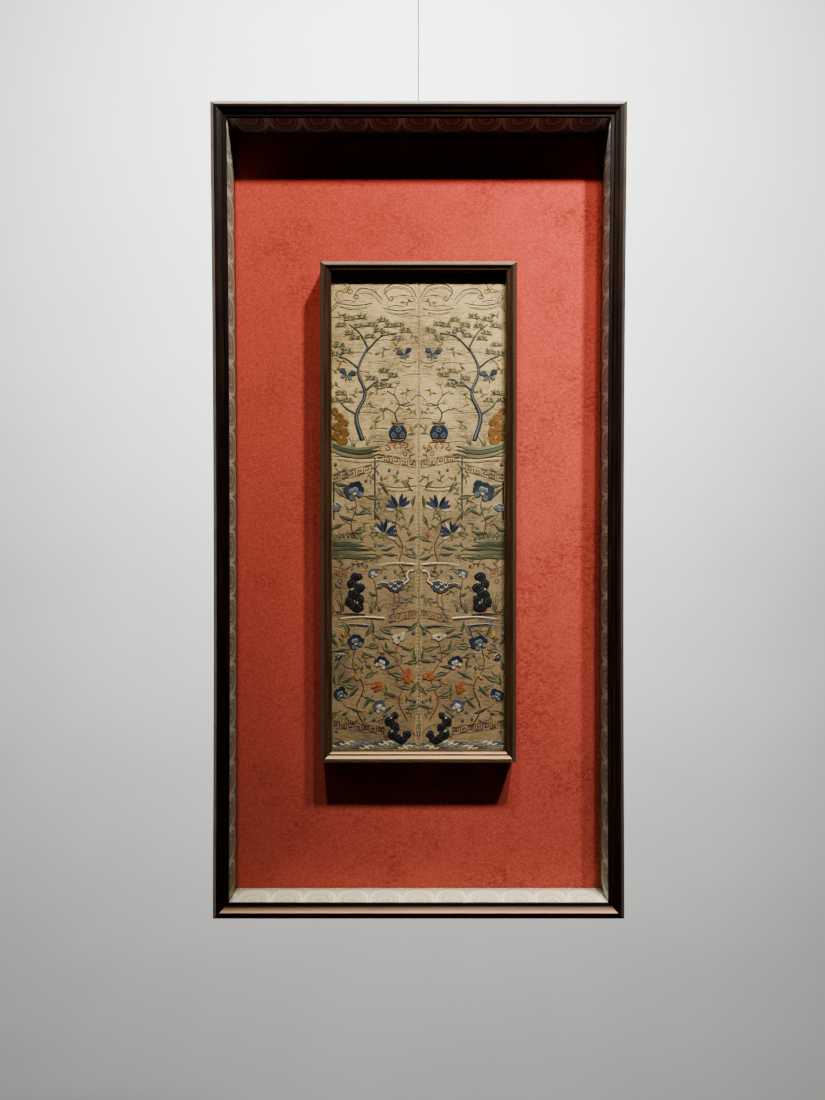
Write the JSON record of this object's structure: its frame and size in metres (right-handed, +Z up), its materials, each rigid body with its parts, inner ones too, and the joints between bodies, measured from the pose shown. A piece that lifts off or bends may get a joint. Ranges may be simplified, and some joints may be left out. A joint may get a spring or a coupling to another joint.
{
  "type": "embroidered silk panel in a hanging shadow box frame",
  "caption": "Mirrored pair of embroidered silk bands in a small dark wooden frame, set in a deep shadow box with red cloth and brocade slips, hung from a steel wire.",
  "frame": {"origin": "the middle of the eye at the top of the taut hanging wire, where a hook or nail in the wall holds the object", "axes": "+Z up along the wire, the embroidery faces -Y, and +Y points into the wall"},
  "size_m": [0.46, 0.062, 1.0839],
  "materials": {
    "dark_wood": "dark rosewood brown, almost black, satin polish",
    "brocade": "ivory brocade with a woven fan pattern",
    "red_cloth": "brick red suede cloth, matt, with a short nap",
    "embroidered_silk": "beige silk with coloured silk embroidery",
    "linen_board": "plain mounting board",
    "backboard": "plain thin plywood",
    "steel": "plain zinc-plated steel",
    "wire": "twisted steel picture wire"
  },
  "bodies": {
    "root": {"outer_rail_top": "dark_wood", "outer_rail_bottom": "dark_wood", "outer_rail_left": "dark_wood", "outer_rail_right": "dark_wood", "inner_rail_top": "dark_wood", "inner_rail_bottom": "dark_wood", "inner_rail_left": "dark_wood", "inner_rail_right": "dark_wood", "brocade_slip_top": "brocade", "brocade_slip_bottom": "brocade", "brocade_slip_left": "brocade", "brocade_slip_right": "brocade", "red_cloth": "red_cloth", "backboard": "backboard", "band_left": "embroidered_silk", "band_right": "embroidered_silk", "band_board": "linen_board", "hanger_plate": "steel", "hanger_screw_1": "steel", "hanger_screw_2": "steel", "wire": "wire", "wire_eye": "wire"}
  },
  "joints": []
}
